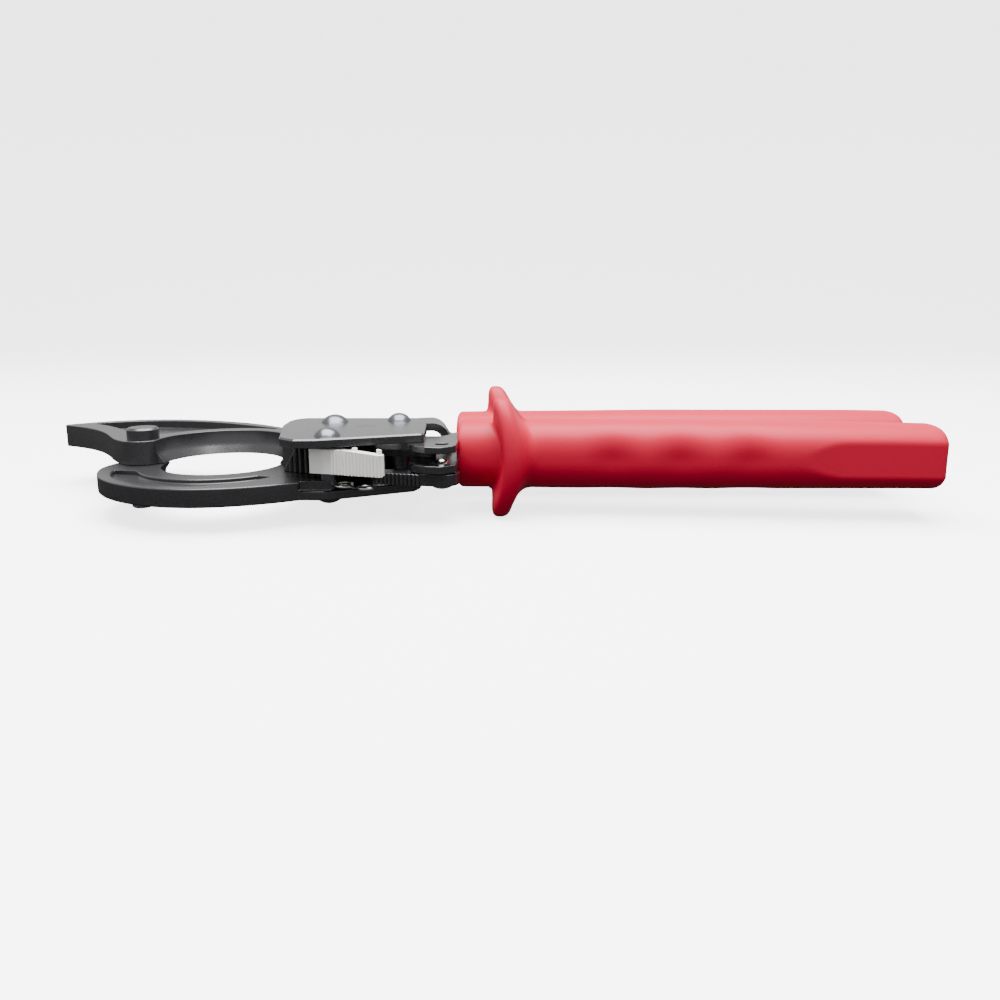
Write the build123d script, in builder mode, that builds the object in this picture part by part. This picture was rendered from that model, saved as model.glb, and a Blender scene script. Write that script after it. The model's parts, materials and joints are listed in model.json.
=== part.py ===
from build123d import *
from math import cos, radians, sin
import os

os.makedirs("parts", exist_ok=True)

# One-hand ratcheting cable cutter, lying flat on a bench with its jaws closed to a ring.
# Millimetres, +Z up, +X from the jaws to the handle butts, +Y towards the fixed handle.
# Outlines are drawn in the tool's own plan, where x = 0 is the main bolt's line across the
# tool and y = 0 is the middle of the cable ring. Heights are measured from the shear plane,
# where the underside of the moving jaw slides over the top of the fixed jaw.

# Place of the plan in the part's frame: the origin is the middle of the footprint, on the bench
PLAN_CENTRE_X = 44.88
PLAN_CENTRE_Y = 5.15
SHEAR_HEIGHT = 14.3

# Heights above the shear plane
PLATE_BOTTOM = -6.0
PLATE_TOP = -2.9
SLIDE_GAP = 0.1
SECTOR_TOP = 8.3
JAW_TOP = 8.4
COVER_BOTTOM = 11.2
COVER_TOP = 14.0
HANDLE_AXIS = 6.0
LOWER_LINK = (2.5, 5.1)
UPPER_LINK = (8.9, 11.1)
TANG = (5.1, 8.9)
LOCK_LEVER = (-1.6, 2.1)
RELEASE_LEVER = (2.5, 10.3)
FIXED_TANG = (-2.9, 2.1)

# Cable ring
RING = (-38.5, -0.5)
RING_R = 20.1
RING_RELIEF_R = 22.5
BEVEL_HEIGHT = 4.2
JAW_RIB_R = 28.0
FIXED_RIB_R = 28.0
POCKET_DEPTH = 3.0
FIXED_POCKET_DEPTH = 1.5

# Pivots
MAIN_BOLT = (0.0, 4.0)
RELEASE_PIVOT = (4.0, -28.0)
HANDLE_PIVOT = (22.0, 8.5)
PAWL_PIVOT = (33.0, -14.0)
LATCH_PIVOT = (39.6, -26.7)
SPRING_ANCHOR = (12.7, -7.0)
TIP_PIN = (-67.0, 2.0)
JAW_STUD = (-51.8, -35.3)

# Toothed sector of the moving jaw
SECTOR_TIP_R = 24.0
SECTOR_ROOT_R = 22.2
SECTOR_START = -128.0
TOOTH_COUNT = 13
TOOTH_PITCH = 5.0

# Pins and rivets
BOLT_R = 3.9
BUSH_R = 6.0
PIN_R = 2.4
HANDLE_PIN_R = 2.9
DOME_R = 4.25
DOME_HEIGHT = 2.6
SHAFT_GAP = 0.06
SPRING_R = 4.0

# Handles
NEAR_ROOT = (42.5, -6.6)
NEAR_ANGLE = -4.5
FAR_ROOT = (42.5, 20.3)
FAR_ANGLE = -1.5
COVER_ARM_ANGLE = 6.0
NEAR_LENGTH = 157.5
FAR_LENGTH = 159.5
GRIP_D = 25.0
ROOT_HEIGHT = 22.8
BUTT_HEIGHT = 20.5
NEAR_DROP = 1.0
FAR_DROP = 2.0
GUARD_AT = 13.5
GUARD_BAND = 11.0
GUARD_HEIGHT = 39.0
GUARD_DROP = 0.8
GUARD_WIDTH = 19.0
NEAR_GUARD_OFFSET = -10.5
FAR_GUARD_OFFSET = 3.5
TANG_LENGTH = 100.0
TANG_WIDTH = 12.0


def level(height):
    """Plan plane at a height above the shear plane."""
    return Plane((-PLAN_CENTRE_X, -PLAN_CENTRE_Y, SHEAR_HEIGHT + height))


def on_sector(radius, angle):
    """Plan point on a circle about the main bolt."""
    x = MAIN_BOLT[0] + radius * cos(radians(angle))
    return (x, MAIN_BOLT[1] + radius * sin(radians(angle)))


def on_ring(radius, angle):
    """Plan point on a circle about the cable ring's middle."""
    return (RING[0] + radius * cos(radians(angle)), RING[1] + radius * sin(radians(angle)))


def disc(centre, radius, bottom, top, mode=Mode.ADD):
    """Upright round of the current part."""
    with BuildSketch(level(bottom)) as round_face:
        with Locations(centre):
            Circle(radius)
    extrude(round_face.sketch, amount=top - bottom, mode=mode)


def slab(points, bottom, top, rounding=0.0, mode=Mode.ADD):
    """Flat plate of the current part from its plan outline, with rounded corners."""
    with BuildSketch(level(bottom)) as outline:
        with BuildLine():
            Polyline(*points, close=True)
        make_face()
        if rounding:
            fillet(outline.vertices(), rounding)
    extrude(outline.sketch, amount=top - bottom, mode=mode)


def dome(centre, seat, radius, height):
    """Domed rivet head on the current part, upwards for a positive height."""
    centre_height = seat + (height * height - radius * radius) / (2 * height)
    ball_r = abs(seat + height - centre_height)
    with BuildPart() as head:
        disc(centre, radius, min(seat, seat + height), max(seat, seat + height))
        with Locations(level(centre_height) * Location((centre[0], centre[1], 0))):
            Sphere(ball_r, mode=Mode.INTERSECT)
    add(head.part)


# ---------------------------------------------------------------- fixed jaw and bottom plate
with BuildPart() as fixed_jaw:
    # Thin bottom plate under the mechanism and out to the fixed handle's tang
    slab(
        [
            (-14.0, -36.0),
            (-4.5, -32.0),
            (4.0, -32.2),
            (30.0, -19.5),
            (31.6, -15.0),
            (31.6, 9.0),
            (46.0, 12.5),
            (46.0, 28.0),
            (26.0, 29.0),
            (-8.0, 18.0),
            (-17.0, 8.0),
            (-25.0, 0.0),
        ],
        PLATE_BOTTOM,
        PLATE_TOP,
        1.5,
    )
    # Full-thickness jaw: a crescent from its nose round to the hub
    with BuildSketch(level(PLATE_BOTTOM)):
        with BuildLine():
            outer = Spline(
                (-75.8, 1.0),
                (-77.3, -5.0),
                (-73.2, -20.2),
                (-60.0, -34.4),
                (-38.0, -42.3),
                (-20.0, -39.7),
                (-4.5, -32.0),
            )
            Polyline(outer @ 1, (-4.5, -30.8), (5.0, -30.8), (8.0, -6.0))
            ThreePointArc((8.0, -6.0), (10.0, 14.0), (-8.0, 15.0))
            Polyline((-8.0, 15.0), (-17.0, 8.0), (-25.0, 0.0), (-50.0, 0.0), (-62.0, 4.5), outer @ 0)
        make_face()
    extrude(amount=-PLATE_BOTTOM)
    # Cutting bevel: the ring is smallest at the shear plane and opens out below it
    with Locations(level(PLATE_BOTTOM) * Location((RING[0], RING[1], 0))):
        Cylinder(
            RING_RELIEF_R,
            -PLATE_BOTTOM - 3.0,
            align=(Align.CENTER, Align.CENTER, Align.MIN),
            mode=Mode.SUBTRACT,
        )
    with Locations(level(-3.0) * Location((RING[0], RING[1], 0))):
        Cone(
            RING_RELIEF_R,
            RING_R,
            3.0,
            align=(Align.CENTER, Align.CENTER, Align.MIN),
            mode=Mode.SUBTRACT,
        )
    # Shallow crescent pocket in the top face
    with BuildSketch(level(-FIXED_POCKET_DEPTH)):
        with BuildLine():
            rim = Spline(
                (-70.8, -13.0),
                (-67.6, -22.0),
                (-56.5, -33.0),
                (-39.0, -38.6),
                (-25.0, -33.5),
                (-15.5, -23.0),
            )
            Line(rim @ 1, (-20.5, -21.95))
            ThreePointArc((-20.5, -21.95), (-38.5, -0.5 - FIXED_RIB_R), (-62.7, -14.4))
            Line((-62.7, -14.4), rim @ 0)
        make_face()
    extrude(amount=FIXED_POCKET_DEPTH, mode=Mode.SUBTRACT)
    disc(MAIN_BOLT, BOLT_R + SHAFT_GAP / 2, PLATE_BOTTOM, 0, Mode.SUBTRACT)
    disc(RELEASE_PIVOT, PIN_R, PLATE_BOTTOM, 0, Mode.SUBTRACT)
    disc(HANDLE_PIVOT, HANDLE_PIN_R, PLATE_BOTTOM, 0, Mode.SUBTRACT)
    disc(JAW_STUD, 2.0, PLATE_BOTTOM, -3.0, Mode.SUBTRACT)
    for rivet_x in (36.0, 42.0):
        disc((rivet_x, 20.5), 1.6, PLATE_BOTTOM, PLATE_TOP, Mode.SUBTRACT)
fixed_jaw.part.label = "fixed_jaw_frame"
export_step(fixed_jaw.part, "parts/fixed_jaw_frame.step")

# Round stud pressed into the underside of the fixed jaw, standing a little below it
with BuildPart() as jaw_stud:
    disc(JAW_STUD, 2.0, PLATE_BOTTOM, -3.0)
    disc(JAW_STUD, 3.2, PLATE_BOTTOM - 1.0, PLATE_BOTTOM)
    chamfer(jaw_stud.edges().group_by(Axis.Z)[0], 0.4)
jaw_stud.part.label = "jaw_stud"
export_step(jaw_stud.part, "parts/jaw_stud.step")

# ---------------------------------------------------------------- moving jaw
with BuildPart() as moving_jaw:
    with BuildSketch(level(SLIDE_GAP)):
        with BuildLine():
            back = Spline(
                (-111.6, 38.2),
                (-105.0, 44.0),
                (-96.0, 49.4),
                (-83.0, 52.5),
                (-70.0, 52.0),
                (-56.5, 48.6),
                (-37.0, 38.8),
                (-24.0, 28.0),
                (-9.0, 16.0),
            )
            ThreePointArc(back @ 1, (10.5, 13.7), on_sector(14.5, -58.0))
            Polyline(on_sector(14.5, -58.0), on_sector(SECTOR_ROOT_R, -63.0))
            ThreePointArc(
                on_sector(SECTOR_ROOT_R, -63.0),
                on_sector(SECTOR_ROOT_R, -100.0),
                on_sector(SECTOR_ROOT_R, SECTOR_START),
            )
            Polyline(on_sector(SECTOR_ROOT_R, SECTOR_START), (-17.2, -3.0), (-58.0, -1.5), (-67.8, -4.0))
            front = Spline(
                (-72.0, -3.8),
                (-75.5, -0.5),
                (-83.0, 10.0),
                (-94.3, 23.6),
                (-102.0, 29.6),
                (-111.2, 34.8),
            )
            Line((-67.8, -4.0), front @ 0)
            ThreePointArc(front @ 1, (-112.4, 36.4), back @ 0)
        make_face()
    extrude(amount=JAW_TOP - SLIDE_GAP)
    # Ratchet teeth: a steep face for the pawls and a sloping back
    with BuildSketch(level(SLIDE_GAP)):
        for tooth in range(TOOTH_COUNT):
            steep = SECTOR_START + TOOTH_PITCH * tooth
            with BuildLine():
                Polyline(
                    on_sector(SECTOR_ROOT_R - 1.5, steep),
                    on_sector(SECTOR_TIP_R, steep - 0.6),
                    on_sector(SECTOR_TIP_R, steep + 0.9),
                    on_sector(SECTOR_ROOT_R - 0.4, steep + TOOTH_PITCH),
                    close=True,
                )
            make_face()
    extrude(amount=SECTOR_TOP - SLIDE_GAP)
    # Slanted grind at the sector's end, which leaves room for the cable
    with BuildSketch(Plane((-PLAN_CENTRE_X, -PLAN_CENTRE_Y - 7.0, SHEAR_HEIGHT), (1, 0, 0), (0, -1, 0))):
        with BuildLine():
            Polyline((-19.0, -1.0), (-14.4, -1.0), (-8.4, JAW_TOP + 0.5), (-19.0, JAW_TOP + 0.5), close=True)
        make_face()
    extrude(amount=16.0, mode=Mode.SUBTRACT)
    # Boss for the tip pin and hub for the main bolt
    disc(TIP_PIN, 7.7, SLIDE_GAP, JAW_TOP)
    disc(MAIN_BOLT, 12.0, SLIDE_GAP, COVER_BOTTOM - SLIDE_GAP)
    # Cutting bevel: smallest at the shear plane, then a straight wall
    with Locations(level(0) * Location((RING[0], RING[1], 0))):
        Cone(
            RING_R,
            RING_RELIEF_R,
            BEVEL_HEIGHT,
            align=(Align.CENTER, Align.CENTER, Align.MIN),
            mode=Mode.SUBTRACT,
        )
    with Locations(level(BEVEL_HEIGHT) * Location((RING[0], RING[1], 0))):
        Cylinder(
            RING_RELIEF_R,
            JAW_TOP,
            align=(Align.CENTER, Align.CENTER, Align.MIN),
            mode=Mode.SUBTRACT,
        )
    # Tapering pocket in the top face, between the back rim and the ring's rib
    with BuildSketch(level(JAW_TOP - POCKET_DEPTH)):
        with BuildLine():
            rim = Spline(
                (-103.5, 40.4),
                (-95.0, 45.0),
                (-82.0, 48.0),
                (-69.5, 47.4),
                (-57.0, 44.0),
                (-41.0, 35.8),
                (-26.5, 26.6),
            )
            Line(rim @ 1, on_ring(JAW_RIB_R, 66.0))
            ThreePointArc(on_ring(JAW_RIB_R, 66.0), on_ring(JAW_RIB_R, 110.0), on_ring(JAW_RIB_R, 152.0))
            near_side = Spline(on_ring(JAW_RIB_R, 152.0), (-70.5, 12.6), (-80.0, 19.6), (-91.5, 31.4), (-99.0, 37.4))
            Line(near_side @ 1, rim @ 0)
        make_face()
    extrude(amount=POCKET_DEPTH, mode=Mode.SUBTRACT)
    disc(MAIN_BOLT, BUSH_R + SHAFT_GAP, SLIDE_GAP, COVER_BOTTOM, Mode.SUBTRACT)
    disc(TIP_PIN, 3.0, SLIDE_GAP, JAW_TOP, Mode.SUBTRACT)
moving_jaw.part.label = "moving_jaw"
export_step(moving_jaw.part, "parts/moving_jaw.step")

# Headed pin pressed into the moving jaw's boss
with BuildPart() as tip_pin:
    disc(TIP_PIN, 3.0, SLIDE_GAP + 0.2, JAW_TOP)
    disc(TIP_PIN, 5.3, JAW_TOP, JAW_TOP + 4.0)
    chamfer(tip_pin.edges().group_by(Axis.Z)[-1], 0.7)
tip_pin.part.label = "tip_pin"
export_step(tip_pin.part, "parts/tip_pin.step")

# ---------------------------------------------------------------- cover plate and frame pins
# The cover's arm bends down from the plate's level and runs into the mouth of the fixed grip
arm_x = (cos(radians(COVER_ARM_ANGLE)), sin(radians(COVER_ARM_ANGLE)), 0)
arm_side = Plane(level(0).origin, arm_x, (arm_x[1], -arm_x[0], 0))
with BuildPart() as bent_arm:
    with BuildSketch(arm_side) as arm_profile:
        with BuildLine():
            Line((27.0, COVER_TOP), (34.3, COVER_TOP))
            RadiusArc((34.3, COVER_TOP), (39.5, 11.0), 6.0)
            Line((39.5, 11.0), (41.0, 8.4))
            RadiusArc((41.0, 8.4), (42.73, 7.4), -2.0)
            Polyline((42.73, 7.4), (54.0, 7.4), (54.0, 4.6), (42.73, 4.6))
            RadiusArc((42.73, 4.6), (38.58, 7.0), 4.8)
            Line((38.58, 7.0), (37.07, 9.6))
            RadiusArc((37.07, 9.6), (34.3, COVER_BOTTOM), -3.2)
            Polyline((34.3, COVER_BOTTOM), (27.0, COVER_BOTTOM), (27.0, COVER_TOP))
        make_face()
    extrude(arm_profile.sketch, amount=45.0, both=True)
    slab(
        [
            (28.5, 8.0),
            (30.0, 0.2),
            (40.4, 1.3),
            (42.0, 6.0),
            (42.2, 12.6),
            (50.5, 12.6),
            (50.5, 25.0),
            (42.6, 25.0),
            (37.0, 17.6),
            (32.0, 16.0),
            (28.5, 14.9),
        ],
        0.0,
        20.0,
        mode=Mode.INTERSECT,
    )

with BuildPart() as cover_plate:
    slab(
        [
            (-16.4, -3.5),
            (-10.2, -31.5),
            (-5.0, -36.3),
            (1.5, -36.0),
            (33.8, -23.8),
            (32.0, 15.0),
            (-12.6, 14.8),
            (-15.7, 11.4),
            (-16.8, 6.0),
        ],
        COVER_BOTTOM,
        COVER_TOP,
        1.6,
    )
    disc(MAIN_BOLT, BOLT_R, COVER_BOTTOM, COVER_TOP, Mode.SUBTRACT)
    disc(RELEASE_PIVOT, PIN_R, COVER_BOTTOM, COVER_TOP, Mode.SUBTRACT)
    disc(HANDLE_PIVOT, HANDLE_PIN_R, COVER_BOTTOM, COVER_TOP, Mode.SUBTRACT)
    disc(SPRING_ANCHOR, 3.0, COVER_BOTTOM, COVER_TOP, Mode.SUBTRACT)
    chamfer(cover_plate.faces().sort_by(Axis.Z)[-1].outer_wire().edges(), 0.5)
    add(bent_arm.part)
cover_plate.part.label = "cover_plate"
export_step(cover_plate.part, "parts/cover_plate.step")

# Main bolt, with a domed head above the cover and a riveted end below the bottom plate
with BuildPart() as main_bolt:
    disc(MAIN_BOLT, BOLT_R, PLATE_BOTTOM, COVER_TOP)
    dome(MAIN_BOLT, COVER_TOP, DOME_R + 0.6, DOME_HEIGHT)
    dome(MAIN_BOLT, PLATE_BOTTOM, DOME_R + 1.2, -1.8)
main_bolt.part.label = "main_bolt"
export_step(main_bolt.part, "parts/main_bolt.step")

# Bush round the main bolt: the moving jaw turns on it, and it spaces the two plates
with BuildPart() as pivot_bush:
    disc(MAIN_BOLT, BUSH_R, 0.0, COVER_BOTTOM)
    disc(MAIN_BOLT, BOLT_R, 0.0, COVER_BOTTOM, Mode.SUBTRACT)
pivot_bush.part.label = "pivot_bush"
export_step(pivot_bush.part, "parts/pivot_bush.step")

# Pin of the release lever, riveted through both plates
with BuildPart() as release_lever_pin:
    disc(RELEASE_PIVOT, PIN_R, PLATE_BOTTOM, COVER_TOP)
    dome(RELEASE_PIVOT, COVER_TOP, DOME_R, DOME_HEIGHT)
    dome(RELEASE_PIVOT, PLATE_BOTTOM, DOME_R - 0.3, -1.6)
release_lever_pin.part.label = "release_lever_pin"
export_step(release_lever_pin.part, "parts/release_lever_pin.step")

# Pin of the moving handle, riveted through both plates
with BuildPart() as handle_pivot_pin:
    disc(HANDLE_PIVOT, HANDLE_PIN_R, PLATE_BOTTOM, COVER_TOP)
    dome(HANDLE_PIVOT, COVER_TOP, DOME_R, DOME_HEIGHT)
    dome(HANDLE_PIVOT, PLATE_BOTTOM, DOME_R + 0.2, -1.6)
    # Shoulder that carries the handle's lower strap above the bottom plate
    disc(HANDLE_PIVOT, 5.8, PLATE_TOP, LOWER_LINK[0] - 0.1)
handle_pivot_pin.part.label = "handle_pivot_pin"
export_step(handle_pivot_pin.part, "parts/handle_pivot_pin.step")

# Short pin pressed flush into the cover, for the pawl spring's fixed end
with BuildPart() as spring_anchor_pin:
    disc(SPRING_ANCHOR, 3.0, COVER_BOTTOM, COVER_TOP)
    disc(SPRING_ANCHOR, 1.5, 8.7, COVER_BOTTOM)
spring_anchor_pin.part.label = "spring_anchor_pin"
export_step(spring_anchor_pin.part, "parts/spring_anchor_pin.step")

# Coil of the release lever's spring, round the lever's pin
with BuildPart() as release_spring:
    disc(RELEASE_PIVOT, SPRING_R, 0.1, RELEASE_LEVER[0] - 0.1)
    disc(RELEASE_PIVOT, PIN_R + 0.2, 0.1, RELEASE_LEVER[0] - 0.1, Mode.SUBTRACT)
release_spring.part.label = "release_spring"
export_step(release_spring.part, "parts/release_spring.step")

# ---------------------------------------------------------------- release lever
with BuildPart() as release_lever:
    disc(RELEASE_PIVOT, 4.2, *RELEASE_LEVER)
    # Thumb pad, from its plain end over the pin to the ribbed free end
    slab(
        [
            (-1.4, -31.0),
            (5.0, -32.4),
            (22.2, -37.7),
            (22.6, -34.4),
            (10.0, -29.6),
            (5.0, -26.0),
            (-1.0, -27.6),
        ],
        RELEASE_LEVER[0],
        RELEASE_LEVER[1],
        0.5,
    )
    # Ribs across the outer face of the pad
    with BuildSketch(level(RELEASE_LEVER[0])):
        for rib in range(15):
            step = 0.06 + rib * 0.062
            with Locations((5.0 + 17.6 * step, -32.4 - 5.4 * step)):
                Circle(0.42)
    extrude(amount=RELEASE_LEVER[1] - RELEASE_LEVER[0])
    # Nose that drops between the jaw's teeth
    slab(
        [
            (3.0, -25.4),
            (1.0, -22.8),
            on_sector(SECTOR_TIP_R + 0.3, -93.0),
            (-3.0, -22.4),
            (-1.0, -26.8),
            (1.5, -28.0),
        ],
        RELEASE_LEVER[0],
        SECTOR_TOP,
    )
    # The pad's top falls away towards its free end
    with BuildSketch(Plane(level(RELEASE_LEVER[1]).origin, (1, 0, 0), (0, -1, 0))) as top_slope:
        with BuildLine():
            Polyline((9.0, 0.0), (24.0, -1.3), (24.0, 1.0), (9.0, 1.0), close=True)
        make_face()
    extrude(top_slope.sketch, amount=60.0, mode=Mode.SUBTRACT)
    # Two small pegs on top, for the lever's spring clip
    disc((13.3, -32.7), 0.8, RELEASE_LEVER[1] - 1.0, RELEASE_LEVER[1] + 0.6)
    disc((21.3, -35.6), 0.8, RELEASE_LEVER[1] - 2.0, RELEASE_LEVER[1] + 0.3)
    disc(RELEASE_PIVOT, PIN_R + SHAFT_GAP, *RELEASE_LEVER, Mode.SUBTRACT)
release_lever.part.label = "release_lever"
export_step(release_lever.part, "parts/release_lever.step")

# ---------------------------------------------------------------- moving handle
NEAR_PLANE_TURN = Location((NEAR_ROOT[0], NEAR_ROOT[1], 0), (0, 0, NEAR_ANGLE))
FAR_PLANE_TURN = Location((FAR_ROOT[0], FAR_ROOT[1], 0), (0, 0, FAR_ANGLE))


def along_handle(turn, height):
    """Plan plane with its x axis along a handle and its origin at the grip's root."""
    return Plane(level(height) * turn)


def bar(turn, start, end, width, bottom, top, mode=Mode.ADD):
    """Straight bar of the current part along a handle."""
    with BuildSketch(along_handle(turn, bottom)) as strip:
        with Locations(((start + end) / 2, 0)):
            Rectangle(end - start, width)
    extrude(strip.sketch, amount=top - bottom, mode=mode)


LOBE = [
    (29.0, -26.0),
    (30.5, -29.5),
    (34.9, -32.8),
    (40.0, -33.6),
    (44.2, -30.0),
    (45.0, -11.5),
    (44.0, -7.0),
    (41.4, -6.2),
    (38.2, -10.2),
    (32.9, -10.2),
    (29.8, -12.0),
]

# Upper strap: a lobe over the latch pin and a web back to the handle's pivot under the cover
with BuildPart() as upper_link:
    slab(LOBE, UPPER_LINK[0], UPPER_LINK[1], 1.0)
    disc(HANDLE_PIVOT, 7.5, *UPPER_LINK)
    slab([(18.4, 2.4), (24.5, -14.5), (32.6, -14.5), (32.3, -9.0), (29.4, 7.0), (24.0, 10.0)], *UPPER_LINK)
    slab([(18.2, -24.2), (31.0, -25.2), (31.0, -13.0), (24.5, -14.5), (18.2, -20.4)], *UPPER_LINK)
    bar(NEAR_PLANE_TURN, 0.0, 32.0, TANG_WIDTH, *UPPER_LINK)
    disc(HANDLE_PIVOT, HANDLE_PIN_R + SHAFT_GAP, *UPPER_LINK, Mode.SUBTRACT)
    disc(PAWL_PIVOT, 1.8, *UPPER_LINK, Mode.SUBTRACT)
    disc(LATCH_PIVOT, 2.1, *UPPER_LINK, Mode.SUBTRACT)
    with BuildSketch(along_handle(NEAR_PLANE_TURN, UPPER_LINK[0])):
        with Locations((12.0, 0), (26.0, 0)):
            Circle(1.6)
    extrude(amount=UPPER_LINK[1] - UPPER_LINK[0], mode=Mode.SUBTRACT)
upper_link.part.label = "upper_link"
export_step(upper_link.part, "parts/upper_link.step")

# Lower strap: the same lobe, with a slimmer arm that clears the toothed sector
with BuildPart() as lower_link:
    slab(LOBE, LOWER_LINK[0], LOWER_LINK[1], 1.0)
    disc(HANDLE_PIVOT, 5.0, *LOWER_LINK)
    slab([(44.0, -10.0), (40.6, 0.8), (36.0, 12.0), (22.0, 13.4), (24.0, 4.2), (33.0, 3.0), (38.0, -9.8)],
         *LOWER_LINK)
    bar(NEAR_PLANE_TURN, 0.0, 32.0, TANG_WIDTH, *LOWER_LINK)
    disc(HANDLE_PIVOT, HANDLE_PIN_R + SHAFT_GAP, *LOWER_LINK, Mode.SUBTRACT)
    disc(PAWL_PIVOT, 1.8, *LOWER_LINK, Mode.SUBTRACT)
    disc(LATCH_PIVOT, 2.0, *LOWER_LINK, Mode.SUBTRACT)
    with BuildSketch(along_handle(NEAR_PLANE_TURN, LOWER_LINK[0])):
        with Locations((12.0, 0), (26.0, 0)):
            Circle(1.6)
    extrude(amount=LOWER_LINK[1] - LOWER_LINK[0], mode=Mode.SUBTRACT)
lower_link.part.label = "lower_link"
export_step(lower_link.part, "parts/lower_link.step")

# Tang between the two straps, running down the inside of the grip
with BuildPart() as handle_tang:
    bar(NEAR_PLANE_TURN, 4.0, TANG_LENGTH, TANG_WIDTH, *TANG)
    with BuildSketch(along_handle(NEAR_PLANE_TURN, TANG[0])):
        with Locations((12.0, 0), (26.0, 0)):
            Circle(1.6)
    extrude(amount=TANG[1] - TANG[0], mode=Mode.SUBTRACT)
handle_tang.part.label = "handle_tang"
export_step(handle_tang.part, "parts/handle_tang.step")

# Two rivets that close the straps on the tang
with BuildPart() as link_rivets:
    with BuildSketch(along_handle(NEAR_PLANE_TURN, LOWER_LINK[0])):
        with Locations((12.0, 0), (26.0, 0)):
            Circle(1.6)
    extrude(amount=UPPER_LINK[1] - LOWER_LINK[0])
link_rivets.part.label = "link_rivets"
export_step(link_rivets.part, "parts/link_rivets.step")

# Pin of the drive pawl, through both straps
with BuildPart() as drive_pawl_pin:
    disc(PAWL_PIVOT, 1.8, LOWER_LINK[0], UPPER_LINK[1])
drive_pawl_pin.part.label = "drive_pawl_pin"
export_step(drive_pawl_pin.part, "parts/drive_pawl_pin.step")

# Pin of the lock lever: domed head below, peened end on the lower strap
with BuildPart() as latch_pin:
    disc(LATCH_PIVOT, 2.0, LOCK_LEVER[0] - 0.1, LOWER_LINK[1])
    dome(LATCH_PIVOT, LOWER_LINK[1], 2.5, 1.5)
    dome(LATCH_PIVOT, LOCK_LEVER[0] - 0.1, 4.2, -1.6)
latch_pin.part.label = "latch_pin"
export_step(latch_pin.part, "parts/latch_pin.step")

# ---------------------------------------------------------------- drive pawl and lock lever
with BuildPart() as drive_pawl:
    disc(PAWL_PIVOT, 3.9, TANG[0] + 0.1, TANG[1] - 0.7)
    slab(
        [
            (33.0, -10.4),
            (24.5, -10.6),
            on_sector(SECTOR_TIP_R + 0.4, -40.0),
            (18.6, -15.2),
            (24.0, -15.8),
            (33.0, -17.7),
        ],
        TANG[0] + 0.1,
        TANG[1] - 0.7,
    )
    disc(PAWL_PIVOT, 1.8 + SHAFT_GAP, TANG[0], TANG[1], Mode.SUBTRACT)
drive_pawl.part.label = "drive_pawl"
export_step(drive_pawl.part, "parts/drive_pawl.step")

with BuildPart() as lock_lever:
    disc(LATCH_PIVOT, 5.6, *LOCK_LEVER)
    slab(
        [
            (39.6, -32.2),
            (33.0, -31.0),
            (18.5, -27.6),
            (17.6, -23.6),
            (22.0, -22.2),
            (36.0, -22.6),
        ],
        *LOCK_LEVER,
        0.4,
    )
    # Square serrations along the near edge
    with BuildSketch(level(LOCK_LEVER[0])):
        for serration in range(11):
            step = (serration + 0.6) / 11
            with Locations((18.6 + 14.4 * step, -27.7 - 3.4 * step)):
                Rectangle(0.75, 1.3, rotation=-13.3)
    extrude(amount=LOCK_LEVER[1] - LOCK_LEVER[0])
    disc(LATCH_PIVOT, 2.0 + SHAFT_GAP, *LOCK_LEVER, Mode.SUBTRACT)
lock_lever.part.label = "lock_lever"
export_step(lock_lever.part, "parts/lock_lever.step")

# ---------------------------------------------------------------- fixed handle tang
with BuildPart() as fixed_tang:
    bar(FAR_PLANE_TURN, -12.0, TANG_LENGTH, TANG_WIDTH, *FIXED_TANG)
    for rivet_x in (36.0, 42.0):
        disc((rivet_x, 20.5), 1.6, *FIXED_TANG, Mode.SUBTRACT)
fixed_tang.part.label = "fixed_handle_tang"
export_step(fixed_tang.part, "parts/fixed_handle_tang.step")

# Two rivets that hold the tang on the bottom plate
with BuildPart() as fixed_tang_rivets:
    for rivet_x in (36.0, 42.0):
        disc((rivet_x, 20.5), 1.6, PLATE_BOTTOM, FIXED_TANG[1])
fixed_tang_rivets.part.label = "fixed_tang_rivets"
export_step(fixed_tang_rivets.part, "parts/fixed_tang_rivets.step")


# ---------------------------------------------------------------- grips
def section(turn, distance, height, drop=0.0):
    """Round-cornered cross-section of a grip, square to the handle."""
    across = Plane(level(HANDLE_AXIS - drop) * turn * Location((distance, 0, 0), (0, 90, 0)))
    with BuildSketch(across) as outline:
        RectangleRounded(height, GRIP_D, height * 0.42)
    return outline.sketch


def grip_shape(turn, length, guard_offset, drop):
    """Sleeve with a hand guard set to one side and a straight taper to the butt, in the current part."""
    middle = section(turn, length * 0.45, ROOT_HEIGHT, drop / 2)
    loft([section(turn, 0.0, ROOT_HEIGHT, drop), middle])
    loft([middle, section(turn, length, BUTT_HEIGHT)])
    guard_plane = Plane(level(HANDLE_AXIS) * turn * Location((GUARD_AT, 0, 0), (0, 90, 0)))
    with BuildSketch(guard_plane) as guard:
        with Locations((GUARD_DROP, guard_offset)):
            Ellipse(GUARD_HEIGHT / 2, GUARD_WIDTH / 2)
    extrude(guard.sketch, amount=GUARD_BAND)


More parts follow.
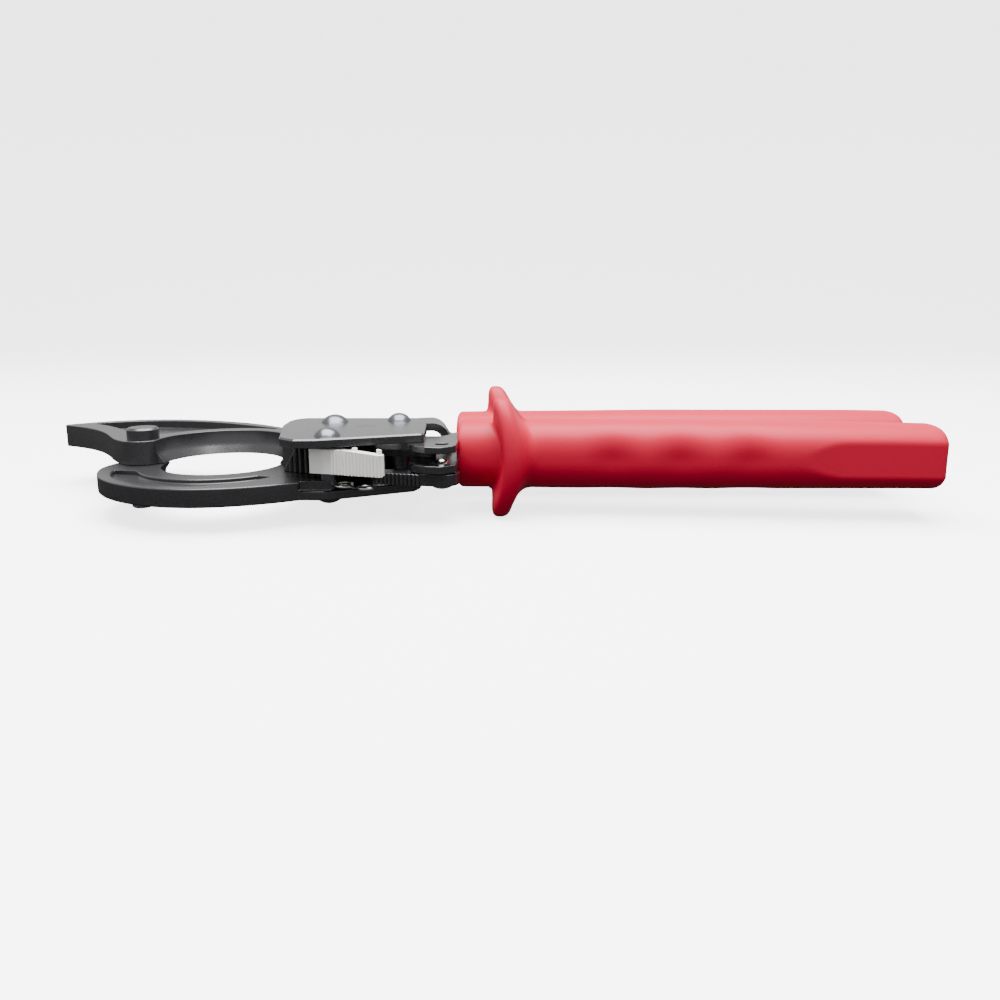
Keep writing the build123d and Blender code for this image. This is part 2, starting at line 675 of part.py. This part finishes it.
with BuildPart() as moving_grip:
    grip_shape(NEAR_PLANE_TURN, NEAR_LENGTH, NEAR_GUARD_OFFSET, NEAR_DROP)
    fillet(moving_grip.faces().sort_by(Axis.X)[-1].edges(), 3.5)
    bar(NEAR_PLANE_TURN, 0.0, 32.0, TANG_WIDTH, LOWER_LINK[0], UPPER_LINK[1], Mode.SUBTRACT)
    bar(NEAR_PLANE_TURN, 0.0, TANG_LENGTH, TANG_WIDTH, *TANG, Mode.SUBTRACT)
    slab([(40.0, -31.0), (45.6, -31.0), (46.4, -12.0), (46.4, 1.0), (40.0, 9.0)], 2.5, 11.1, 0.0, Mode.SUBTRACT)
moving_grip.part.label = "moving_grip"
export_step(moving_grip.part, "parts/moving_grip.step")

with BuildPart() as fixed_grip:
    grip_shape(FAR_PLANE_TURN, FAR_LENGTH, FAR_GUARD_OFFSET, FAR_DROP)
    fillet(fixed_grip.faces().sort_by(Axis.X)[-1].edges(), 3.5)
    bar(FAR_PLANE_TURN, 0.0, TANG_LENGTH, TANG_WIDTH, *FIXED_TANG, Mode.SUBTRACT)
    slab([(41.0, 10.8), (46.2, 12.2), (46.2, 28.2), (41.0, 28.2)], -7.5, PLATE_TOP, 0.0, Mode.SUBTRACT)
    slab([(41.0, 12.4), (50.7, 12.4), (50.7, 25.2), (41.0, 25.2)], 4.5, 7.6, 0.0, Mode.SUBTRACT)
fixed_grip.part.label = "fixed_grip"
export_step(fixed_grip.part, "parts/fixed_grip.step")
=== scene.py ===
import json
import math

import bmesh
import bpy
from mathutils import Matrix, Vector


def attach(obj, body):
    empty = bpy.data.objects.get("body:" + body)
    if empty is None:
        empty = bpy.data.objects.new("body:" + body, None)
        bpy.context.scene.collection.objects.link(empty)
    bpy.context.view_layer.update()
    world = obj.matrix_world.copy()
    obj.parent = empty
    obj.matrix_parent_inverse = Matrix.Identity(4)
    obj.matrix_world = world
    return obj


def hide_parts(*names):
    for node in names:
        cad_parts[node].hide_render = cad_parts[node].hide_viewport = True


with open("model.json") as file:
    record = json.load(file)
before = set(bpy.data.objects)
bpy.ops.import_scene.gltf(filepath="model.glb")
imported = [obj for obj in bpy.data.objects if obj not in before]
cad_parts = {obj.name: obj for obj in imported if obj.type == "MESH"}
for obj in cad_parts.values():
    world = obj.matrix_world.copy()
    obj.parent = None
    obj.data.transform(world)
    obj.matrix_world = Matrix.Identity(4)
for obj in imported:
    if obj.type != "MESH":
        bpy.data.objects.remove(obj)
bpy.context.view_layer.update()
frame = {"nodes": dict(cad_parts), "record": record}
nodes = frame["nodes"]
MM = 0.001


# ---------------------------------------------------------------- materials
GRAIN_DETAIL = 4.0
GRAIN_DEPTH = 0.1 * MM
GRAIN_LOW = 0.3
GRAIN_HIGH = 0.7


def new_material(name, colour, metallic, roughness, specular=0.5):
    """Material with a plain Principled shader."""
    material = bpy.data.materials.new(name)
    material.use_nodes = True
    shader = material.node_tree.nodes["Principled BSDF"]
    shader.inputs["Base Color"].default_value = (*colour, 1.0)
    shader.inputs["Metallic"].default_value = metallic
    shader.inputs["Roughness"].default_value = roughness
    shader.inputs["Specular IOR Level"].default_value = specular
    return material


def add_grain(material, scale, bump, rough_low, rough_high):
    """Fine surface grain: noise drives a slight bump and a spread of roughness."""
    tree = material.node_tree
    shader = tree.nodes["Principled BSDF"]
    place = tree.nodes.new("ShaderNodeTexCoord")
    noise = tree.nodes.new("ShaderNodeTexNoise")
    noise.inputs["Scale"].default_value = scale
    noise.inputs["Detail"].default_value = GRAIN_DETAIL
    tree.links.new(place.outputs["Object"], noise.inputs["Vector"])
    spread = tree.nodes.new("ShaderNodeMapRange")
    spread.inputs["From Min"].default_value = GRAIN_LOW
    spread.inputs["From Max"].default_value = GRAIN_HIGH
    spread.inputs["To Min"].default_value = rough_low
    spread.inputs["To Max"].default_value = rough_high
    tree.links.new(noise.outputs["Fac"], spread.inputs["Value"])
    tree.links.new(spread.outputs["Result"], shader.inputs["Roughness"])
    relief = tree.nodes.new("ShaderNodeBump")
    relief.inputs["Strength"].default_value = bump
    relief.inputs["Distance"].default_value = GRAIN_DEPTH
    tree.links.new(noise.outputs["Fac"], relief.inputs["Height"])
    tree.links.new(relief.outputs["Normal"], shader.inputs["Normal"])
    return material


# Each slot's material: name, colour, metallic, roughness and specular,
# then the grain's scale, bump, lowest and highest roughness
FINISHES = {
    "forged_steel": (
        ("forged_black", (0.014, 0.014, 0.016), 0.0, 0.3, 0.85),
        (1400, 0.12, 0.26, 0.36),
    ),
    "plate_steel": (
        ("plate_black", (0.018, 0.018, 0.02), 0.0, 0.22, 1.0),
        (2200, 0.06, 0.18, 0.24),
    ),
    "rivet_steel": (
        ("rivet_dark", (0.13, 0.135, 0.15), 0.95, 0.3, 0.5),
        (1500, 0.04, 0.26, 0.33),
    ),
    "bronze": (
        ("bush_bronze", (0.42, 0.27, 0.12), 1.0, 0.35, 0.5),
        (900, 0.1, 0.3, 0.4),
    ),
    "bright_steel": (
        ("wire_bright", (0.45, 0.44, 0.42), 1.0, 0.22, 0.5),
        (1500, 0.05, 0.16, 0.26),
    ),
    "lever_zinc": (
        ("lever_matte", (0.92, 0.91, 0.88), 0.0, 0.5, 0.5),
        (1400, 0.15, 0.44, 0.56),
    ),
    "tang_steel": (
        ("tang_black", (0.03, 0.03, 0.033), 0.3, 0.4, 0.5),
        (1200, 0.15, 0.34, 0.46),
    ),
    "grip_red": (
        ("dipped_red", (0.54, 0.004, 0.034), 0.0, 0.46, 0.25),
        (2200, 0.08, 0.42, 0.5),
    ),
}
MATERIALS = {}
for slot, (surface, grain) in FINISHES.items():
    MATERIALS[slot] = add_grain(new_material(*surface), *grain)

for subpart in frame["record"]["subparts"]:
    node = nodes[subpart["node"]]
    node.data.materials.clear()
    node.data.materials.append(MATERIALS[subpart["material_slot"]])


# ---------------------------------------------------------------- worn edges of the steel pieces
# Width of the broken edges, in millimetres
EDGE_BREAK = {
    "fixed_jaw_frame": 0.5,
    "moving_jaw": 0.25,
    "tip_pin": 0.15,
    "cover_plate": 0.12,
    "upper_link": 0.3,
    "lower_link": 0.3,
    "lock_lever": 0.15,
    "release_lever": 0.15,
    "jaw_stud": 0.2,
}
EDGE_ANGLE = math.radians(38)
EDGE_SEGMENTS = 3
WELD_GAP = 0.002 * MM


def break_edges(node, width):
    """Welds the faces of a steel piece and rounds its sharp edges slightly."""
    if "custom_normal" in node.data.attributes:
        node.data.attributes.remove(node.data.attributes["custom_normal"])
    for face in node.data.polygons:
        face.use_smooth = True
    weld = node.modifiers.new("joined_faces", "WELD")
    weld.merge_threshold = WELD_GAP
    bevel = node.modifiers.new("broken_edges", "BEVEL")
    bevel.width = width
    bevel.segments = EDGE_SEGMENTS
    bevel.limit_method = "ANGLE"
    bevel.angle_limit = EDGE_ANGLE
    bevel.use_clamp_overlap = False
    bevel.harden_normals = True


for name, width in EDGE_BREAK.items():
    break_edges(nodes[name], width * MM)


# ---------------------------------------------------------------- new pieces
# The tool's plan, in millimetres: the frame's origin in it, and the height of the
# jaws' shearing plane above the bench
PLAN_CENTRE = (44.88, 5.15)
SHEAR_HEIGHT = 14.3


def skin(mesh, loops):
    """Joins each closed loop of points to the next one."""
    for one, two in zip(loops, loops[1:]):
        for step in range(len(one)):
            after = (step + 1) % len(one)
            mesh.faces.new((one[step], one[after], two[after], two[step]))


def new_piece(name, mesh, body, replaced, slot):
    """Smooth piece from a mesh, which rides a body and stands in for a node."""
    bmesh.ops.recalc_face_normals(mesh, faces=mesh.faces)
    data = bpy.data.meshes.new(name)
    mesh.to_mesh(data)
    mesh.free()
    # Only the flat ends of a wire have more corners, and they stay flat
    for face in data.polygons:
        face.use_smooth = len(face.vertices) <= 4
    data.materials.append(MATERIALS[slot])
    piece = bpy.data.objects.new(name, data)
    bpy.context.scene.collection.objects.link(piece)
    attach(piece, body)
    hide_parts(replaced)


# ---------------------------------------------------------------- grips
# Height of the handles' axis above the bench
HANDLE_AXIS = 20.3
GRIP_HALF_WIDTH = 12.5
ROOT_HEIGHT = 22.8
BUTT_HEIGHT = 20.5
TAPER_START = 0.45
# Squareness of the cross-section at the root and at the butt, and the stretch of the
# length over which it changes
CORNER_POWER = 2.5
BUTT_CORNER_POWER = 2.7
CORNER_CHANGE = (0.55, 0.95)
# The guards stand on the bench
GUARD_HALF_HEIGHT = 19.5
GUARD_CENTRE = GUARD_HALF_HEIGHT
GUARD_HALF_WIDTH = 9.5
# Power of the union of sleeve and guard: a higher one leaves a sharper crease
GUARD_BLEND = 6
# Share of the length over which the sunken root rises to the handle's axis
SINK_END = 0.9
# Points of a ring, closer together towards its top and bottom
RING_POINTS = 144
CROWDING = 0.25
# Rings between the mouth and the guard, as shares of that stretch
NECK_RINGS = (0.35, 0.7)
BODY_RING_STEP = 1.6
# Rings behind the guard over which its forward sweep fades
SWEEP_FADE_RINGS = 4
MOUTH_DEPTH = 12.0
MOUTH_WALL = 4.2
# Rounded rim of the mouth: distance from the front end, and inset from the sleeve's outline
MOUTH_RIM = [
    (MOUTH_DEPTH, MOUTH_WALL),
    (1.4, MOUTH_WALL - 0.1),
    (0.7, MOUTH_WALL - 0.3),
    (0.2, MOUTH_WALL - 0.8),
    (0.0, MOUTH_WALL - 1.6),
    (0.0, 1.6),
    (0.12, 1.0),
    (0.4, 0.45),
    (0.9, 0.12),
    (1.6, 0.0),
]
# Guard's profile: distance from its front edge, and its share of the guard's full reach
GUARD_PROFILE = [
    (-1.6, 0.0),
    (-0.7, 0.03),
    (-0.25, 0.14),
    (-0.05, 0.38),
    (0.0, 0.6),
    (0.15, 0.78),
    (0.55, 0.91),
    (1.2, 0.975),
    (2.2, 1.0),
    (3.4, 1.0),
    (4.6, 0.97),
    (5.4, 0.91),
    (6.0, 0.82),
    (6.5, 0.7),
    (7.1, 0.53),
    (7.8, 0.36),
    (8.6, 0.2),
    (9.6, 0.08),
    (10.6, 0.02),
    (11.8, 0.0),
]
# Rounded butt: distance from the end, and inset from the sleeve's outline
BUTT_RIM = [(2.2, 0.0), (1.4, 0.15), (0.75, 0.5), (0.3, 1.0), (0.08, 1.6), (0.0, 2.3)]
# Finger hollows: the middle of the first one, their spacing and number, their depth,
# how far below the outer side they are centred, and how fast they fade round the sleeve
FINGER_START = 52.9
FINGER_PITCH = 21.8
FINGER_COUNT = 3
FINGER_DEPTH = 2.1
FINGER_TILT = math.radians(8)
FINGER_FALLOFF = 3.2
# Flat facet of the outer side: where it starts, the run to its full depth, that depth,
# and the least share of a direction that has to point outwards
FACET_START = 112.0
FACET_RUN = 14.0
FACET_CUT = 1.0
FACET_LIMIT = 0.1


def smooth_step(low, high, value):
    """0 below low, 1 above high, and a smooth curve between."""
    share = min(max((value - low) / (high - low), 0.0), 1.0)
    return share * share * (3 - 2 * share)


def sleeve_size(distance, length):
    """Half height of the sleeve at a distance from its root."""
    share = max((distance / length - TAPER_START) / (1 - TAPER_START), 0.0)
    return (ROOT_HEIGHT + (BUTT_HEIGHT - ROOT_HEIGHT) * share) / 2


def sleeve_radius(angle, distance, length):
    """Reach of the sleeve from its axis in a direction; angle 0 points to the outer side."""
    across = abs(math.cos(angle)) / GRIP_HALF_WIDTH
    up = abs(math.sin(angle)) / sleeve_size(distance, length)
    squaring = smooth_step(*CORNER_CHANGE, distance / length)
    power = CORNER_POWER + (BUTT_CORNER_POWER - CORNER_POWER) * squaring
    reach = (across**power + up**power) ** (-1 / power)
    # Finger hollows, deepest a little below the middle of the outer side
    turn = (distance - FINGER_START) / FINGER_PITCH
    if -0.5 < turn < FINGER_COUNT - 0.5:
        facing = max(math.cos(angle + FINGER_TILT), 0.0) ** FINGER_FALLOFF
        reach -= FINGER_DEPTH * (0.5 + 0.5 * math.cos(2 * math.pi * turn)) * facing
    # Flat facet of the outer side, towards the butt
    cut = FACET_CUT * smooth_step(FACET_START, FACET_START + FACET_RUN, distance)
    if math.cos(angle) > FACET_LIMIT:
        reach = min(reach, (GRIP_HALF_WIDTH - cut) / math.cos(angle))
    return reach


def guard_radius(angle, offset, rise):
    """Reach of the guard's oval from the sleeve's axis; its middle is offset outwards and up."""
    wide = GUARD_HALF_WIDTH**2
    high = GUARD_HALF_HEIGHT**2
    along = math.cos(angle) ** 2 / wide + math.sin(angle) ** 2 / high
    middle = math.cos(angle) * offset / wide + math.sin(angle) * rise / high
    inside = offset**2 / wide + rise**2 / high - 1
    root = middle * middle - along * inside
    if root < 0 or middle + math.sqrt(root) < 0:
        return 0.0
    return (middle + math.sqrt(root)) / along


def grip_rings(front, length, guard_at):
    """Rings from the mouth to the butt: distance, inset, share of the guard and of its sweep."""
    rings = [(front + s, inset, 0.0, 0.0) for s, inset in MOUTH_RIM]
    rim_end = rings[-1][0]
    guard_start = guard_at + GUARD_PROFILE[0][0]
    for share in NECK_RINGS:
        rings.append((rim_end + (guard_start - rim_end) * share, 0.0, 0.0, share))
    rings += [(guard_at + s, 0.0, share, 1.0) for s, share in GUARD_PROFILE]
    guard_end = rings[-1][0]
    body_end = length - BUTT_RIM[0][0]
    body_rings = int((body_end - guard_end) / BODY_RING_STEP)
    for step in range(1, body_rings):
        s = guard_end + (body_end - guard_end) * step / body_rings
        rings.append((s, 0.0, 0.0, max(0.0, 1 - step / SWEEP_FADE_RINGS)))
    rings += [(length - s, inset, 0.0, 0.0) for s, inset in BUTT_RIM]
    return rings


def grip(name, body, node, root, turn, outer, front, length, drop, guard_at, guard_offset, sweep):
    """Red sleeve with its mouth, hand guard, finger hollows, facet and butt, as one closed mesh."""
    angles = []
    for step in range(RING_POINTS):
        even = 2 * math.pi * step / RING_POINTS
        angles.append(even + CROWDING * math.sin(2 * even))
    mesh = bmesh.new()
    turn_matrix = Matrix.Rotation(math.radians(turn), 4, "Z")
    base = Vector((root[0] - PLAN_CENTRE[0], root[1] - PLAN_CENTRE[1], HANDLE_AXIS))
    loops = []
    for s, inset, guard_share, sweep_share in grip_rings(front, length, guard_at):
        sink = -drop * (1 - min(s / (SINK_END * length), 1.0))
        loop = []
        for angle in angles:
            reach = sleeve_radius(angle, s, length) - inset
            flange = max(guard_radius(angle, guard_offset, GUARD_CENTRE - HANDLE_AXIS - sink), 0.0)
            full = (reach**GUARD_BLEND + flange**GUARD_BLEND) ** (1 / GUARD_BLEND)
            lip_height = full * math.sin(angle) + sink
            bow = sweep * sweep_share * min(abs(lip_height) / GUARD_HALF_HEIGHT, 1.0) ** 2
            r = reach + (full - reach) * guard_share
            up = max(sink + r * math.sin(angle), -HANDLE_AXIS)
            point = Vector((s - bow, outer * r * math.cos(angle), up))
            loop.append(mesh.verts.new((base + turn_matrix @ point) * MM))
        loops.append(loop)
    skin(mesh, loops)
    for loop in (loops[0], loops[-1]):
        middle = sum((v.co for v in loop), Vector()) / len(loop)
        centre = mesh.verts.new(middle)
        for step in range(RING_POINTS):
            mesh.faces.new((loop[step], loop[(step + 1) % RING_POINTS], centre))
    new_piece(name, mesh, body, node, "grip_red")


grip(
    "near_sleeve",
    "moving_handle",
    "moving_grip",
    root=(42.5, -6.6),
    turn=-4.5,
    outer=-1,
    front=2.2,
    length=157.0,
    drop=1.0,
    guard_at=17.9,
    guard_offset=11.0,
    sweep=4.2,
)
grip(
    "far_sleeve",
    "frame",
    "fixed_grip",
    root=(42.5, 20.3),
    turn=-1.5,
    outer=1,
    front=0.0,
    length=159.5,
    drop=2.0,
    guard_at=15.5,
    guard_offset=3.5,
    sweep=4.8,
)


# ---------------------------------------------------------------- release lever's spring
WIRE_RADIUS = 0.45
WIRE_SIDES = 12
STEPS_PER_TURN = 28


def coil(centre, radius, low, high, turns, start):
    """Points of a coil of wire, round an upright axis."""
    points = []
    steps = int(turns * STEPS_PER_TURN)
    for step in range(steps + 1):
        angle = math.radians(start) + 2 * math.pi * turns * step / steps
        x = centre[0] + radius * math.cos(angle)
        y = centre[1] + radius * math.sin(angle)
        points.append((x, y, low + (high - low) * step / steps))
    return points


def wire(name, points, body, node, slot):
    """Round wire along a row of plan points, as one closed mesh."""
    shift = Vector((PLAN_CENTRE[0], PLAN_CENTRE[1], -SHEAR_HEIGHT))
    path = [Vector(point) - shift for point in points]
    mesh = bmesh.new()
    loops = []
    for step, point in enumerate(path):
        ahead = path[min(step + 1, len(path) - 1)]
        behind = path[max(step - 1, 0)]
        along = (ahead - behind).normalized()
        side = along.cross(Vector((0, 0, 1))).normalized()
        up = side.cross(along)
        loop = []
        for corner in range(WIRE_SIDES):
            angle = 2 * math.pi * corner / WIRE_SIDES
            offset = side * math.cos(angle) + up * math.sin(angle)
            loop.append(mesh.verts.new((point + offset * WIRE_RADIUS) * MM))
        loops.append(loop)
    skin(mesh, loops)
    mesh.faces.new(loops[0])
    mesh.faces.new(loops[-1])
    new_piece(name, mesh, body, node, slot)


left_coil = coil((8.8, -29.0), radius=2.7, low=-1.1, high=-2.4, turns=1.5, start=0.0)
right_coil = coil((16.0, -30.0), radius=2.5, low=-2.4, high=-2.1, turns=1.5, start=200.0)
wire("release_coil", left_coil + right_coil, "frame", "release_spring", "bright_steel")


# ---------------------------------------------------------------- stage
# Paper's half width, front edge, start of its curve behind the tool, and top, in metres
SWEEP_HALF_WIDTH = 3.0
SWEEP_FRONT = -1.5
SWEEP_BACK = 1.6
SWEEP_RADIUS = 0.8
SWEEP_TOP = 3.0
SWEEP_STEPS = 24
SWEEP_GLOW = 3.0


def paper_sweep():
    """White paper: flat under the tool, curving up behind it into an upright backdrop."""
    profile = [(SWEEP_FRONT, 0.0)]
    for step in range(SWEEP_STEPS + 1):
        angle = math.radians(90 * step / SWEEP_STEPS)
        y = SWEEP_BACK + SWEEP_RADIUS * math.sin(angle)
        profile.append((y, SWEEP_RADIUS * (1 - math.cos(angle))))
    profile.append((SWEEP_BACK + SWEEP_RADIUS, SWEEP_TOP))
    mesh = bmesh.new()
    rows = []
    for y, z in profile:
        rows.append([mesh.verts.new((side * SWEEP_HALF_WIDTH, y, z)) for side in (-1, 1)])
    for one, two in zip(rows, rows[1:]):
        mesh.faces.new((one[0], one[1], two[1], two[0]))
    data = bpy.data.meshes.new("floor")
    mesh.to_mesh(data)
    mesh.free()
    for face in data.polygons:
        face.use_smooth = True
    paper = new_material("paper_white", (0.95, 0.95, 0.95), 0.0, 0.7, 0.2)
    shader = paper.node_tree.nodes["Principled BSDF"]
    shader.inputs["Emission Color"].default_value = (1.0, 1.0, 1.0, 1.0)
    shader.inputs["Emission Strength"].default_value = SWEEP_GLOW
    data.materials.append(paper)
    floor = bpy.data.objects.new("floor", data)
    bpy.context.scene.collection.objects.link(floor)
    # The undersides of the grips stay dark: the paper sends no light back on them
    floor.visible_diffuse = False
    floor.visible_glossy = False


# The sky turns from dark to light between two heights of a direction
SKY_STRENGTH = 0.95
SKY_DARK = (0.07, 0.07, 0.07, 1.0)
SKY_LIGHT = (1.0, 1.0, 1.0, 1.0)
SKY_DARK_BELOW = -0.12
SKY_LIGHT_ABOVE = 0.0


def studio_sky():
    """Even white light from above the bench, and little from below it."""
    world = bpy.data.worlds.new("studio")
    world.use_nodes = True
    sky = world.node_tree
    backdrop = sky.nodes["Background"]
    backdrop.inputs["Strength"].default_value = SKY_STRENGTH
    direction = sky.nodes.new("ShaderNodeTexCoord")
    split = sky.nodes.new("ShaderNodeSeparateXYZ")
    sky.links.new(direction.outputs["Generated"], split.inputs["Vector"])
    height = sky.nodes.new("ShaderNodeMapRange")
    height.inputs["From Min"].default_value = SKY_DARK_BELOW
    height.inputs["From Max"].default_value = SKY_LIGHT_ABOVE
    sky.links.new(split.outputs["Z"], height.inputs["Value"])
    tone = sky.nodes.new("ShaderNodeMix")
    tone.data_type = "RGBA"
    tone.inputs["A"].default_value = SKY_DARK
    tone.inputs["B"].default_value = SKY_LIGHT
    sky.links.new(height.outputs["Result"], tone.inputs["Factor"])
    sky.links.new(tone.outputs["Result"], backdrop.inputs["Color"])
    bpy.context.scene.world = world


LIGHT_HEIGHT = 0.75
LIGHT_SIZE = 0.8
LIGHT_POWER = 26.0


def overhead_light():
    """Square soft light straight above the tool."""
    lamp = bpy.data.lights.new("overhead_light", "AREA")
    lamp.shape = "SQUARE"
    lamp.size = LIGHT_SIZE
    lamp.energy = LIGHT_POWER
    holder = bpy.data.objects.new("overhead_light", lamp)
    holder.location = (0, 0, LIGHT_HEIGHT)
    bpy.context.scene.collection.objects.link(holder)


CAMERA_PLACE = (0.01312, -0.28033, 0.06605)
CAMERA_TILT = math.radians(79.35)
CAMERA_LENS = 28.8
CAMERA_SENSOR = 36.0
CAMERA_SHIFT = -0.0371
CAMERA_CLIP = 0.01


def front_camera():
    """Camera low in front of the tool."""
    lens = bpy.data.cameras.new("camera")
    lens.lens = CAMERA_LENS
    lens.sensor_width = CAMERA_SENSOR
    lens.shift_y = CAMERA_SHIFT
    lens.clip_start = CAMERA_CLIP
    camera = bpy.data.objects.new("camera", lens)
    camera.location = CAMERA_PLACE
    camera.rotation_euler = (CAMERA_TILT, 0, 0)
    bpy.context.scene.collection.objects.link(camera)
    bpy.context.scene.camera = camera


paper_sweep()
studio_sky()
overhead_light()
front_camera()
